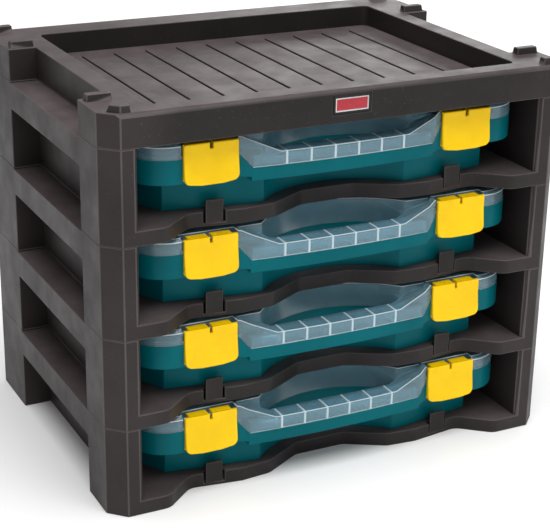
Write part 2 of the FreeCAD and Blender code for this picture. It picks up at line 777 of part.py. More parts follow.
def make_case_base():
    """The lower box with its compartments, the skirt round its top and half of the handle."""
    body = new_body("case_base_1")
    box = both_sides(box_outline(), ("grip_radius", RIGHT))
    pad(body, "Box", plan(body, "BoxOutline", "0", box), "parting")
    ease_edges("Chamfer", body, "NoseEdges", "nose_edge", upright_at(("nose_out", "nose_y")))
    belt = both_sides(belt_outline())
    pad(body, "Belt", plan(body, "BeltOutline", "belt_low", belt), "belt_depth")
    pad(body, "HandleFoot", plan(body, "HandleFootOutline", "belt_low", foot_outline()), "belt_depth")
    bar = plan(body, "HandleOutline", "handle_low", bar_outline("0"))
    pad(body, "HandleBar", bar, "handle_part - handle_low")
    skirt = plan(body, "SkirtHollowOutline", "belt_low", skirt_outline())
    pocket(body, "SkirtHollow", skirt, "belt_depth - skin", backwards=True)
    columns = plan(body, "ColumnOutlines", "parting", *column_outlines())
    pocket(body, "Compartments", columns, "parting - skin")
    grip = plan(body, "GripOutline", "parting", grip_outline())
    pocket(body, "Grip", grip, "parting - handle_low + overrun")
    reach = bay_reach("grip_y", "skin")
    seat = [("-" + reach, "grip_y"), (reach, "grip_y", "grip_radius + skin", LEFT)]
    pocket(body, "GripSeat", plan(body, "GripSeatOutline", "parting", seat), "grip_skirt")
    step = [
        ("handle_end", "parting + overrun"),
        ("-handle_end", "parting + overrun"),
        ("-handle_end", "parting"),
        ("-(handle_half - skin / 2)", "handle_part"),
        ("handle_half - skin / 2", "handle_part"),
        ("handle_end", "parting"),
    ]
    step_sketch = elevation(body, "HandleStepOutline", "front", step)
    pocket(body, "HandleStep", step_sketch, "grip_y - front")
    channel = plan(body, "ChannelOutline", "handle_part", bar_outline("skin"))
    pocket(body, "HandleChannel", channel, "handle_part - handle_low - skin")
    add_hinge_ears(body)
    body.setExpression("Placement.Base.z", bound("floor_rise"))
    return body


def foot_outline():
    """Where the handle runs out into the front of the case."""
    half = [("handle_half", "handle_y"), ("handle_end", "belt_y"), ("handle_end", "grip_y")]
    return both_sides(half, ("handle_radius", LEFT))


def add_hinge_ears(body):
    """Two ears at the rear, with the pin across for the lid."""
    top = "parting + barrel / 2"
    ear = [
        ("rear_y - web_root", "parting - barrel"),
        ("hinge_y + barrel / 2", "parting - barrel / 2"),
        ("hinge_y + barrel / 2", top),
        ("rear_y + knuckle_gap", top),
        ("rear_y + knuckle_gap", "parting"),
        ("rear_y - web_root", "parting"),
    ]
    gap = rectangle("rear_y", "hinge_y + barrel", "parting - barrel - overrun", "parting + overrun")
    width = "knuckle_width + 2 * knuckle_gap"
    whole = width + " + 2 * ear_thick"
    pad(body, "EarBlock", section(body, "EarOutline", "0", ear), whole, midplane=True)
    pocket(body, "EarGap", section(body, "EarGapOutline", "0", gap), width, midplane=True)
    pin_sketch = section(body, "HingePinOutline", "0", eight_sided("hinge_y", "parting", "pin_diameter"))
    pad(body, "HingePin", pin_sketch, whole, midplane=True)


def make_case_lid():
    """The clear lid: a shallow cover, its half of the handle, latch niches and hinge knuckle."""
    body = new_body("case_lid_1")
    cover = both_sides(belt_outline())
    pad(body, "Cover", plan(body, "CoverOutline", "parting", cover), "lid_depth")
    ease_edges("Chamfer", body, "CoverEdge", "lid_chamfer", level_at("case_high"))
    foot = plan(body, "HandleFootOutline", "handle_part", foot_outline())
    pad(body, "HandleFoot", foot, "case_high - handle_part")
    bevel = [
        ("handle_half - skin / 2", "handle_part - overrun"),
        ("handle_end + overrun", "handle_part - overrun"),
        ("handle_end + overrun", "parting"),
        ("handle_end", "parting"),
        ("handle_half - skin / 2", "handle_part"),
    ]
    bevel_sketch = elevation(body, "HandleBevelOutline", "front", bevel, mirror_half(bevel))
    pocket(body, "HandleBevels", bevel_sketch, "grip_y - front")
    dip = [
        ("handle_half + dip_end - dip_run", "handle_top"),
        ("handle_half + dip_end", "case_high"),
        ("handle_half + dip_end", "case_high + overrun"),
    ]
    dip_sketch = elevation(body, "HandleDipOutline", "front", both_sides(dip))
    pocket(body, "HandleDip", dip_sketch, "grip_y - front")
    pocket(body, "Grip", plan(body, "GripOutline", "case_high", grip_outline()), "lid_depth + overrun")
    pocket(body, "Hollow", plan(body, "HollowOutline", "parting", lid_hollow()),
           "lid_depth - skin", backwards=True)
    channel = plan(body, "ChannelOutline", "handle_part", bar_outline("skin"))
    pocket(body, "HandleChannel", channel, "handle_cap - skin", backwards=True)
    cells = plan(body, "HandleRibOutlines", "handle_part", *handle_ribs())
    pad(body, "HandleRibs", cells, "handle_cap - web_root")
    skirt = plan(body, "GripSkirtOutline", "parting - grip_skirt", grip_skirt_outline())
    pad(body, "GripSkirt", skirt, "grip_skirt + web_root")
    niche = rectangle(
        "latch_x - niche_half", "latch_x + niche_half", "parting + niche_floor", "case_high + overrun"
    )
    niche_sketch = elevation(body, "NicheOutlines", "front", niche, mirror_half(niche))
    pocket(body, "LatchNiches", niche_sketch, "niche_back - front")
    add_latch_pins(body)
    add_hinge_knuckle(body)
    body.setExpression("Placement.Base.z", bound("floor_rise"))
    return body


def grip_skirt_outline():
    """The lid's round wall behind the grip, where it reaches down into the base."""
    reach = bay_reach("grip_y", "skin - part_gap")
    return [
        ("grip_half", "grip_y", "grip_radius", LEFT),
        ("-grip_half", "grip_y"),
        ("-" + reach, "grip_y", "grip_radius + skin - part_gap", RIGHT),
        (reach, "grip_y"),
    ]


def lid_hollow():
    """The inside of the lid, clear of the niches and of the wall round the grip."""
    near = "niche_back + skin"
    half = bay_facets(bay_reach(near, "skin"), LID_FACETS)
    half += [("niche_out", near), ("niche_out", "belt_y + skin")] + hollow_outline()
    return both_sides(half)


def handle_ribs():
    """Upright ribs that part the handle's inside into cells."""
    ribs = []
    for number in range(HANDLE_RIBS):
        middle = "(%d - %d) * rib_pitch / 2" % (2 * number, HANDLE_RIBS - 1)
        near = "handle_centre - sqrt(handle_radius^2 - (%s)^2) + skin / 2" % middle
        left, right = middle + " - handle_rib / 2", middle + " + handle_rib / 2"
        ribs.append(rectangle(left, right, near, "grip_y - skin / 2"))
    return ribs


def add_latch_pins(body):
    """A pin across each niche, for a latch to turn on."""
    pin_sketch = round_section(body, "LatchPinOutline", "latch_x", "pin_y", "pin_z", "pin_diameter")
    pin_length = "2 * niche_half + 2 * web_root"
    pin = pad(body, "LatchPin", pin_sketch, pin_length, midplane=True)
    mirror_features(body, "OtherLatchPin", [pin])


def add_hinge_knuckle(body):
    """The knuckle at the rear that turns on the base's pin."""
    near = "rear_y + knuckle_gap"
    outer = "hinge_y + barrel / 2"
    knuckle = [
        ("rear_y - web_root", "parting + knuckle_gap"),
        (near, "parting + knuckle_gap"),
        (near, "parting - barrel / 2"),
        (outer, "parting - barrel / 2"),
        (outer, "parting + barrel / 2"),
        ("rear_y - web_root", "parting + barrel / 2"),
    ]
    sketch = section(body, "KnuckleOutline", "0", knuckle)
    pad(body, "Knuckle", sketch, "knuckle_width", midplane=True)
    hole = section(body, "KnuckleBoreOutline", "0", eight_sided("hinge_y", "parting", "bore + pin_play"))
    pocket(body, "KnuckleBore", hole, "knuckle_width + overrun", midplane=True)


def make_latch():
    """A latch: a plate that hangs on its pin, a hook under the skirt and a finger pull."""
    body = new_body("latch_right_1")
    plate = [
        ("latch_width / 2 - latch_bow_run", "latch_low"),
        ("latch_width / 2", "latch_low + latch_bow"),
        ("latch_width / 2", "latch_top"),
    ]
    plate_sketch = elevation(body, "PlateOutline", "plate_back", both_sides(plate))
    pad(body, "Plate", plate_sketch, "latch_thick")
    near = measure("same_place")
    corner_z = measure("latch_low + latch_bow")

    def lower_corner(edge):
        box = edge.BoundBox
        return box.XLength + box.ZLength < near and abs(box.ZMin - corner_z) < near

    ease_edges("Chamfer", body, "PlateCorners", "latch_corner", lower_corner)
    clip = rectangle("plate_back - web_root", "pin_y + barrel / 2", "pin_z - barrel / 2", "latch_top")
    pad(body, "Clip", section(body, "ClipOutline", "0", clip), "clip_width", midplane=True)
    hole = round_section(body, "ClipBoreOutline", "0", "pin_y", "pin_z", "bore")
    pocket(body, "ClipBore", hole, "clip_width + overrun", midplane=True)
    mouth = rectangle(
        "pin_y", "pin_y + barrel", "pin_z - clip_mouth / 2", "pin_z + clip_mouth / 2"
    )
    mouth_sketch = section(body, "ClipMouthOutline", "0", mouth)
    pocket(body, "ClipMouth", mouth_sketch, "clip_width + overrun", midplane=True)
    hook = rectangle("plate_back - web_root", "belt_y + hook_reach", "latch_low", "hook_top")
    hook_width = "latch_width - 2 * latch_bow_run"
    pad(body, "Hook", section(body, "HookOutline", "0", hook), hook_width, midplane=True)
    pull = [
        ("plate_front - pull_reach", "latch_low"),
        ("plate_front + web_root", "latch_low"),
        ("plate_front + web_root", "latch_low + pull_height"),
        ("plate_front", "latch_low + pull_height"),
        ("plate_front - pull_reach", "latch_low + hook_thick"),
    ]
    pad(body, "Pull", section(body, "PullOutline", "0", pull), "pull_width", midplane=True)
    slit = rectangle(
        "-latch_slit / 2", "latch_slit / 2", "latch_top - slit_depth", "latch_top + overrun"
    )
    slit_sketch = elevation(body, "SlitOutline", "front", slit)
    pocket(body, "Slit", slit_sketch, "niche_back - front + overrun")
    body.setExpression("Placement.Base.x", bound("latch_x"))
    body.setExpression("Placement.Base.z", bound("floor_rise"))
    return body


def copy_of(original, label, x, z):
    """The same moulding again in another place."""
    link = document.addObject("App::Link", "Copy_" + label)
    link.LinkedObject = original
    link.Label = label
    link.setExpression("Placement.Base.x", bound(x))
    link.setExpression("Placement.Base.z", bound(z))
    return link


module = make_shelf_module()
tongues = make_stop_tongues()
base = make_case_base()
lid = make_case_lid()
latch = make_latch()
nodes = [make_top_tray(), make_label_plate(), module, tongues, base, lid, latch]
nodes.append(copy_of(latch, "latch_left_1", "-latch_x", "floor_rise"))
for level in range(1, LEVELS):
    rise = "module_height * %d" % level
    lifted = rise + " + floor_rise"
    number = level + 1
    nodes.append(copy_of(module, "shelf_module_%d" % number, "0", rise))
    nodes.append(copy_of(tongues, "stop_tongues_%d" % number, "0", rise))
    nodes.append(copy_of(base, "case_base_%d" % number, "0", lifted))
    nodes.append(copy_of(lid, "case_lid_%d" % number, "0", lifted))
    nodes.append(copy_of(latch, "latch_right_%d" % number, "latch_x", lifted))
    nodes.append(copy_of(latch, "latch_left_%d" % number, "-latch_x", lifted))
document.recompute()

for thing in document.Objects:
    if "Invalid" in thing.State or "Error" in thing.State:
        raise RuntimeError("%s did not build: %s" % (thing.Label, thing.State))

os.makedirs("parts", exist_ok=True)
for node in nodes:
    shape = Part.getShape(node)
    if shape.isNull() or not shape.isValid():
        raise RuntimeError("%s has no valid shape" % node.Label)
    shape.exportStep("parts/%s.step" % node.Label)
    print("%-16s %d solid(s) %10.1f mm3" % (node.Label, len(shape.Solids), shape.Volume))
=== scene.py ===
"""Dresses the rack of small-parts cases and sets it up in a plain studio."""

import json
import math

import bmesh
import bpy
from bpy.props import FloatProperty, FloatVectorProperty, IntProperty, PointerProperty
from mathutils import Matrix, Vector

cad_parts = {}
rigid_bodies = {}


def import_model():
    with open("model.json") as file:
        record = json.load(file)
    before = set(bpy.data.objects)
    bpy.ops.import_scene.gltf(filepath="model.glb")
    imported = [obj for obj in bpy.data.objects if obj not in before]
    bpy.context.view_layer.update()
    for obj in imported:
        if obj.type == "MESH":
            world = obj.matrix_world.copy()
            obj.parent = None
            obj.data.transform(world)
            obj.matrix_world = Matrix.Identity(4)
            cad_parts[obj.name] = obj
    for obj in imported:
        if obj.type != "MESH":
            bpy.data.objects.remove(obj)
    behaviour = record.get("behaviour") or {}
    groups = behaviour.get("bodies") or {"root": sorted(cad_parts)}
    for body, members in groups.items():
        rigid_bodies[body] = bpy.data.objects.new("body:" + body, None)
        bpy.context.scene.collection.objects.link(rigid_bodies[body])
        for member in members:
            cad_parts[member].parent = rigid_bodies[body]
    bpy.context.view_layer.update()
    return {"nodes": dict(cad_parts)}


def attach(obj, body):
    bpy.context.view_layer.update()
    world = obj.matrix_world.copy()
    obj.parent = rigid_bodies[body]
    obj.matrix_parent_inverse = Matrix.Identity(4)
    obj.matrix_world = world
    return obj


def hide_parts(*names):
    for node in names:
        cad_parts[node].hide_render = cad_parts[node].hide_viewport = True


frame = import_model()

bl_info = {
    "name": "Organiser Rack",
    "version": (1, 0, 0),
    "blender": (4, 5, 0),
    "location": "View3D > Sidebar > Organiser Rack",
    "description": "Finishes a rack of small-parts cases with a tray on top",
    "category": "Object",
}

LEVELS = (1, 2, 3, 4)
SIDES = ("left", "right")
X, Y, Z = 0, 1, 2

# Places on the solids, in metres. The setbacks are measured from the front of the tray.
FRONT = min(corner[Y] for corner in frame["nodes"]["top_tray"].bound_box)
LINE_SETBACK = 0.0025
HANDLE_SETBACK = 0.0082
GRIP_SETBACK = 0.0195
SEAT_SETBACK = 0.0510
FRONT_LINE = FRONT + LINE_SETBACK
HANDLE_FRONT = FRONT + HANDLE_SETBACK
GRIP_FRONT = FRONT + GRIP_SETBACK
SEAT_BACK = FRONT + SEAT_SETBACK
SEAT_RISE = 0.0345
SEAT_HALF = 0.0660
LID_DEPTH = 0.0115
HIDDEN_LEDGE = 0.0015
# Painted shade: between these distances from the middle, the darker copy of the plastic over the shelves and
# lips gives way to the legs' own tone.
PAINTED_SHADE_ENDS = (0.130, 0.156)
NEAR = 0.0003

# The painted highlight lines where the ribs meet the handle, in metres, and where they end as shares of
# their pitch.
RIB_PITCH = 0.019
RIB_HALF = 0.0011
RIB_FADE = 0.0005
HANDLE_FADE = 0.0005
RIBS_END_SHARE = 2.7
RIBS_FADE_SHARE = 0.05

# The face of a latch, in metres. Its foot has shares of the half width and of the bow.
LATCH_SKIN = 0.0018
LATCH_CORNER = 0.0050
LATCH_CORNER_STEPS = 5
LATCH_TOP_CORNER = 0.0014
LATCH_TOP_STEPS = 3
SLIT_HALF = 0.0011
SLIT_DEPTH = 0.0045
FOOT_RISE = 0.0190
FOOT_BOW = 0.0012
FOOT_WIDTH_SHARE = 0.4
FOOT_BOW_SHARE = 0.2

# The blank plate, in metres: its rounding, each border's slot, width and depth, and how metallic its rim is.
PLATE_ROUND = 0.0004
PLATE_STEPS = 2
PLATE_BORDERS = ((1, 0.0014, -0.0003), (2, 0.0009, -0.0002))
RIM_METAL = 0.7

# How near points are merged, in metres, and which angles are made whole, smoothed or rounded.
WELD = 1e-6
FLAT = math.radians(0.5)
SMOOTH = math.radians(32)
SHARP = math.radians(24)
LID_SHARP = math.radians(31)

# How much of an edge's length has to be rise before the edge counts as upright.
UPRIGHT_SHARE = 0.6

# How edges are rounded: shares of the usual rounding, steps, and the slots of faces and of rounded edges.
LID_ROUND_SHARE = 0.7
LATCH_ROUND_SHARE = 1.6
FINE_STEPS = 3
FACE_SLOT = 0
EDGE_SLOT = 1
SAME_SLOT = -1

# The studio in metres, each lamp with its place and its size, and the camera's sensor in millimetres.
AIM = (0.0, 0.0, 0.16)
KEY_LAMP = ((-0.1, -0.9, 4.0), (3.6, 3.6))
FILL_LAMP = ((-0.3, -2.4, 1.0), (1.6, 1.0))
RIGHT_LAMP = ((1.6, -1.6, 1.0), (0.9, 1.2))
BACK_LAMP = ((1.3, 1.7, 0.85), (1.2, 0.7))
RIGHT_SHARE = 0.6
FLOOR_SIZE = 12.0
SENSOR_WIDTH = 36.0

# The middle span of a noise, the colour sockets of a mix node, and how nodes are laid out in the editor.
MID_NOISE = (0.30, 0.70)
FIRST_COLOUR, SECOND_COLOUR, MIXED_COLOUR = 6, 7, 2
SHADER_PLACE = (600, 0)
OUTPUT_PLACE = (900, 0)
FIRST_COLUMN = -1400
COLUMN_STEP = 180
ROW_STEP = 160
ROWS = 4


class RackFinish(bpy.types.PropertyGroup):
    """Colours and roundings of the black rack."""

    plastic: FloatVectorProperty(
        name="Plastic", description="Charcoal plastic of the rack", subtype="COLOR",
        size=3, min=0, max=1, default=(0.0270, 0.0205, 0.0210),
    )
    # Dusty colour and painted top light: faces that look up are made this paler colour, partly for dirt and
    # partly for the light from above; the specks use it too.
    dust_and_top_light: FloatVectorProperty(
        name="Dust", description="Dry bloom on faces that look up", subtype="COLOR",
        size=3, min=0, max=1, default=(0.115, 0.092, 0.094),
    )
    # Worn edges with a painted highlight: the rounded edges get this paler colour, partly for wear and
    # partly for the light that they catch.
    worn_edge: FloatVectorProperty(
        name="Worn edge", description="Rubbed plastic along the edges", subtype="COLOR",
        size=3, min=0, max=1, default=(0.078, 0.067, 0.065),
    )
    edge_round: FloatProperty(
        name="Edge rounding", description="Rounding of the moulded edges", unit="LENGTH",
        default=0.0007,
    )


class CaseFinish(bpy.types.PropertyGroup):
    """Colours and roundings of the cases and their latches."""

    base: FloatVectorProperty(
        name="Base", description="Teal plastic of a case's base", subtype="COLOR",
        size=3, min=0, max=1, default=(0.000, 0.115, 0.138),
    )
    lid: FloatVectorProperty(
        name="Lid", description="Milky plastic of a case's lid", subtype="COLOR",
        size=3, min=0, max=1, default=(0.44, 0.76, 0.90),
    )
    latch: FloatVectorProperty(
        name="Latch", description="Yellow plastic of the latches", subtype="COLOR",
        size=3, min=0, max=1, default=(1.0, 0.62, 0.001),
    )
    label: FloatVectorProperty(
        name="Plate", description="Blank red plate on the tray", subtype="COLOR",
        size=3, min=0, max=1, default=(0.42, 0.012, 0.025),
    )
    # Painted highlight: this pale colour goes on the lid's rounded edges and along its ribs, for the light
    # that they catch.
    lid_highlight: FloatVectorProperty(
        name="Lid edge", description="Pale edges and ribs of the lid", subtype="COLOR",
        size=3, min=0, max=1, default=(0.86, 0.94, 0.96),
    )
    plate_rim: FloatVectorProperty(
        name="Plate rim", description="Silver line round the red plate", subtype="COLOR",
        size=3, min=0, max=1, default=(0.55, 0.55, 0.55),
    )
    edge_round: FloatProperty(
        name="Edge rounding", description="Rounding of the cases' edges", unit="LENGTH",
        default=0.0006,
    )
    rounding_steps: IntProperty(
        name="Rounding steps", description="Facets across a rounded edge", min=1, max=6, default=2,
    )


class StudioSettings(bpy.types.PropertyGroup):
    """Camera, lamps and floor of the studio."""

    camera_place: FloatVectorProperty(
        name="Camera", description="Where the camera stands", subtype="TRANSLATION",
        size=3, default=(-0.51474, -1.03910, 0.57230),
    )
    azimuth: FloatProperty(
        name="Azimuth", description="Camera's turn to the right", subtype="ANGLE",
        default=math.radians(26.761),
    )
    elevation: FloatProperty(
        name="Elevation", description="Camera's tilt down", subtype="ANGLE",
        default=math.radians(21.34),
    )
    roll: FloatProperty(
        name="Roll", description="Camera's turn about its own line of sight", subtype="ANGLE",
        default=math.radians(0.956),
    )
    lens: FloatProperty(
        name="Lens", description="Focal length on a 36 mm wide sensor", unit="CAMERA", min=1,
        default=100.04,
    )
    key_power: FloatProperty(
        name="Key lamp", description="Power of the large lamp overhead", unit="POWER", default=190.0,
    )
    fill_power: FloatProperty(
        name="Fill lamp", description="Power of the lamp beside the camera", unit="POWER", default=6.0,
    )
    back_power: FloatProperty(
        name="Back lamp", description="Power of the lamp behind the rack", unit="POWER", default=9.0,
    )
    air: FloatProperty(
        name="Air", description="Strength of the even light from all round", min=0, default=0.30,
    )
    floor: FloatVectorProperty(
        name="Floor", description="Pale floor and backdrop", subtype="COLOR",
        size=3, min=0, max=1, default=(0.95, 0.95, 0.95),
    )


def rack_finish():
    return bpy.context.scene.rack_finish


def case_finish():
    return bpy.context.scene.case_finish


def studio():
    return bpy.context.scene.studio_settings


class Nodes:
    """A small helper that adds shader nodes from left to right and joins them."""

    def __init__(self, name):
        self.material = bpy.data.materials.new(name)
        self.material.use_nodes = True
        self.tree = self.material.node_tree
        self.shader = self.tree.nodes["Principled BSDF"]
        self.shader.location = SHADER_PLACE
        self.tree.nodes["Material Output"].location = OUTPUT_PLACE
        self.column = 0
        self.place = self.add("ShaderNodeTexCoord").outputs["Object"]

    def add(self, kind, **settings):
        node = self.tree.nodes.new(kind)
        node.location = (FIRST_COLUMN + COLUMN_STEP * self.column, -ROW_STEP * (self.column % ROWS))
        self.column += 1
        for key, value in settings.items():
            setattr(node, key, value)
        return node

    def join(self, source, target):
        self.tree.links.new(source, target)

    def noise(self, scale, detail=4.0, roughness=0.55):
        node = self.add("ShaderNodeTexNoise")
        node.inputs["Scale"].default_value = scale
        node.inputs["Detail"].default_value = detail
        node.inputs["Roughness"].default_value = roughness
        self.join(self.place, node.inputs["Vector"])
        return node.outputs["Fac"]

    def spread(self, source, low, high, to_low=0.0, to_high=1.0):
        node = self.add("ShaderNodeMapRange", clamp=True)
        node.inputs["From Min"].default_value = low
        node.inputs["From Max"].default_value = high
        node.inputs["To Min"].default_value = to_low
        node.inputs["To Max"].default_value = to_high
        self.join(source, node.inputs["Value"])
        return node.outputs["Result"]

    def times(self, one, two):
        node = self.add("ShaderNodeMath", operation="MULTIPLY")
        self.join(one, node.inputs[0])
        self.join(two, node.inputs[1])
        return node.outputs["Value"]

    def mix(self, factor, one, two):
        node = self.add("ShaderNodeMix", data_type="RGBA")
        self.join(factor, node.inputs["Factor"])
        for place, value in ((FIRST_COLOUR, one), (SECOND_COLOUR, two)):
            if isinstance(value, tuple):
                node.inputs[place].default_value = value
            else:
                self.join(value, node.inputs[place])
        return node.outputs[MIXED_COLOUR]

    def patches(self, scale, detail, colour, darker, lighter):
        """A colour with soft patches that are darker and lighter by the given shares."""
        soft = self.spread(self.noise(scale, detail), *MID_NOISE)
        return self.mix(soft, opaque(colour, darker), opaque(colour, lighter))

    def split(self, vector):
        """The parts of a vector along X, Y and Z."""
        node = self.add("ShaderNodeSeparateXYZ")
        self.join(vector, node.inputs["Vector"])
        return node.outputs

    def size_of(self, value):
        """A value without its sign."""
        node = self.add("ShaderNodeMath", operation="ABSOLUTE")
        self.join(value, node.inputs[0])
        return node.outputs["Value"]

    def bump(self, height, strength, distance):
        node = self.add("ShaderNodeBump")
        node.inputs["Strength"].default_value = strength
        node.inputs["Distance"].default_value = distance
        self.join(height, node.inputs["Height"])
        self.join(node.outputs["Normal"], self.shader.inputs["Normal"])

    def roughen(self, scale, low, high):
        """Roughness that wanders between two values."""
        self.drive("Roughness", self.spread(self.noise(scale), *MID_NOISE, low, high))

    def set(self, name, value):
        self.shader.inputs[name].default_value = value

    def drive(self, name, source):
        self.join(source, self.shader.inputs[name])


def opaque(colour, share=1.0):
    """A colour with full alpha, made darker or lighter by a share."""
    return tuple(min(1.0, channel * share) for channel in colour) + (1.0,)


def rack_plastic(name, colour):
    """Charcoal plastic, painted darker between the legs as shade over the shelves and lips, with faces that
    look up made paler, partly dusty and partly painted top light, and pale dusty specks.
    """
    nodes = Nodes(name)
    finish = rack_finish()
    flow = nodes.spread(nodes.noise(9.0, 5.0), 0.35, 0.70)
    # Painted shade: the shelves and lips between the legs get a darker copy of the plastic, as they lie in
    # shade under the parts above; the legs keep a lighter tone.
    legs_out_of_painted_shade = nodes.spread(nodes.size_of(nodes.split(nodes.place)["X"]), *PAINTED_SHADE_ENDS)
    painted_shade_between_legs = nodes.mix(flow, opaque(colour, 0.45), opaque(colour, 0.72))
    leg_tone = nodes.mix(flow, opaque(colour, 0.80), opaque(colour, 1.25))
    painted_shade_and_legs = nodes.mix(legs_out_of_painted_shade, painted_shade_between_legs, leg_tone)
    facing = nodes.add("ShaderNodeNewGeometry").outputs["Normal"]
    # Faces that look up turn paler in patches: partly dusty, partly painted top light.
    upward = nodes.spread(nodes.split(facing)["Z"], 0.55, 0.95)
    bloom_and_top_light = nodes.spread(nodes.noise(26.0, 6.0, 0.65), 0.30, 0.75, 0.35, 0.95)
    dusted_and_top_lit = nodes.mix(nodes.times(upward, bloom_and_top_light), painted_shade_and_legs, opaque(finish.dust_and_top_light))
    specks = nodes.spread(nodes.noise(900.0, 2.0), 0.69, 0.76, 0.0, 0.55)
    nodes.drive("Base Color", nodes.mix(specks, dusted_and_top_lit, opaque(finish.dust_and_top_light, 1.5)))
    nodes.roughen(40.0, 0.42, 0.58)
    nodes.set("Specular IOR Level", 0.26)
    nodes.bump(nodes.noise(700.0, 3.0), 0.16, 0.0004)
    return nodes.material


def teal_plastic():
    """Satin teal plastic with a faint swirl and a few pale scuffs."""
    nodes = Nodes("teal_plastic")
    colour = case_finish().base
    shade = nodes.patches(14.0, 5.0, colour, 0.88, 1.14)
    scuff = nodes.spread(nodes.noise(160.0, 6.0, 0.7), 0.70, 0.82, 0.0, 0.25)
    nodes.drive("Base Color", nodes.mix(scuff, shade, opaque(colour, 2.2)))
    nodes.roughen(60.0, 0.28, 0.40)
    nodes.set("Specular IOR Level", 0.08)
    nodes.bump(nodes.noise(500.0, 3.0), 0.08, 0.0003)
    return nodes.material


def lid_plastic():
    """Milky see-through plastic, with painted highlight lines where the ribs meet the handle."""
    nodes = Nodes("lid_plastic")
    finish = case_finish()
    milk = nodes.patches(20.0, 4.0, finish.lid, 0.92, 1.08)
    place = nodes.split(nodes.place)
    turn = nodes.add("ShaderNodeMath", operation="PINGPONG")
    nodes.join(place["X"], turn.inputs[0])
    turn.inputs[1].default_value = RIB_PITCH / 2
    rib_side = RIB_PITCH / 2 - RIB_HALF
    at_rib = nodes.spread(turn.outputs["Value"], rib_side, rib_side + RIB_FADE)
    on_handle = nodes.spread(place["Y"], GRIP_FRONT - HANDLE_FADE, GRIP_FRONT, 1.0, 0.0)
    ribs_end = RIB_PITCH * RIBS_END_SHARE
    ribs_gone = ribs_end + RIB_PITCH * RIBS_FADE_SHARE
    between = nodes.spread(nodes.size_of(place["X"]), ribs_end, ribs_gone, 0.7, 0.0)
    # Painted highlight: pale lines where the ribs meet the handle's front, made less see-through there.
    line = nodes.times(nodes.times(at_rib, on_handle), between)
    nodes.drive("Base Color", nodes.mix(line, milk, opaque(finish.lid_highlight)))
    nodes.roughen(70.0, 0.14, 0.24)
    nodes.set("IOR", 1.49)
    nodes.drive("Transmission Weight", nodes.spread(line, 0.0, 1.0, 0.80, 0.15))
    nodes.bump(nodes.noise(260.0, 2.0), 0.05, 0.0003)
    return nodes.material


def lid_highlight_plastic():
    """The same plastic along its edges, painted pale as a highlight where it gathers light."""
    nodes = Nodes("lid_highlight_plastic")
    colour = case_finish().lid_highlight
    nodes.drive("Base Color", nodes.patches(30.0, 3.0, colour, 0.92, 1.04))
    nodes.roughen(70.0, 0.14, 0.24)
    nodes.set("IOR", 1.49)
    nodes.set("Transmission Weight", 0.25)
    return nodes.material


def latch_plastic():
    """Glossy yellow plastic with slightly deeper patches."""
    nodes = Nodes("latch_plastic")
    colour = case_finish().latch
    patch = nodes.spread(nodes.noise(45.0, 4.0), 0.30, 0.72)
    nodes.drive("Base Color", nodes.mix(patch, opaque(colour, 0.90), opaque(colour, 1.03)))
    nodes.roughen(90.0, 0.24, 0.36)
    nodes.set("Specular IOR Level", 0.2)
    nodes.bump(nodes.noise(420.0, 2.0), 0.06, 0.0003)
    return nodes.material


def plate_plastic(name, colour, metallic):
    """A glossy finish of the blank plate or of the lines round it."""
    nodes = Nodes(name)
    nodes.drive("Base Color", nodes.patches(120.0, 3.0, colour, 0.88, 1.12))
    nodes.roughen(200.0, 0.22, 0.34)
    nodes.set("Metallic", metallic)
    nodes.bump(nodes.noise(900.0, 2.0), 0.05, 0.0002)
    return nodes.material


def finish_named(name, maker, *details):
    """The finish of that name, made the first time that it is asked for."""
    return bpy.data.materials.get(name) or maker(*details)


def rack_materials():
    finish = rack_finish()
    return [
        finish_named("rack_plastic", rack_plastic, "rack_plastic", finish.plastic),
        finish_named("rack_worn_edge", rack_plastic, "rack_worn_edge", finish.worn_edge),
    ]


def work_on(piece):
    """Makes a piece the only one selected, and the active one."""
    bpy.ops.object.select_all(action="DESELECT")
    piece.select_set(True)
    bpy.context.view_layer.objects.active = piece


def take_solid(node, name):
    """A copy of a CAD solid as one joined mesh, with its flat faces made whole."""
    mesh = frame["nodes"][node].data.copy()
    mesh.name = name
    mesh.materials.clear()
    piece = bpy.data.objects.new(name, mesh)
    bpy.context.scene.collection.objects.link(piece)
    work_on(piece)
    bpy.ops.object.mode_set(mode="EDIT")
    bpy.ops.mesh.select_all(action="SELECT")
    bpy.ops.mesh.remove_doubles(threshold=WELD)
    bpy.ops.mesh.dissolve_limited(angle_limit=FLAT)
    bpy.ops.object.mode_set(mode="OBJECT")
    return piece


def span(piece, axis):
    """The lowest and the highest place of a piece along an axis."""
    places = [corner[axis] for corner in piece.bound_box]
    return min(places), max(places)


def anywhere(place):
    return True


def round_edges(piece, width, steps, wanted=anywhere, edge_slot=SAME_SLOT, sharp=SHARP):
    """Rounds the outer edges of a piece, all of them or those in the wanted places."""
    work_on(piece)
    bpy.ops.object.mode_set(mode="EDIT")
    bpy.ops.mesh.select_mode(type="EDGE")
    bpy.ops.mesh.select_all(action="DESELECT")
    shape = bmesh.from_edit_mesh(piece.data)
    for edge in shape.edges:
        outer = edge.calc_face_angle_signed(0.0) > sharp
        edge.select_set(outer and wanted((edge.verts[0].co + edge.verts[1].co) / 2))
    bmesh.update_edit_mesh(piece.data)
    bpy.ops.transform.edge_bevelweight(value=1.0)
    bpy.ops.object.mode_set(mode="OBJECT")
    bevel = piece.modifiers.new("Rounding", "BEVEL")
    bevel.width = width
    bevel.segments = steps
    bevel.limit_method = "WEIGHT"
    bevel.use_clamp_overlap = False
    bevel.loop_slide = False
    bevel.material = edge_slot
    bpy.ops.object.modifier_apply(modifier=bevel.name)
    bpy.ops.object.shade_smooth_by_angle(angle=SMOOTH)
    piece.modifiers.new("Flat faces", "WEIGHTED_NORMAL").keep_sharp = True
    bpy.ops.object.modifier_apply(modifier="Flat faces")


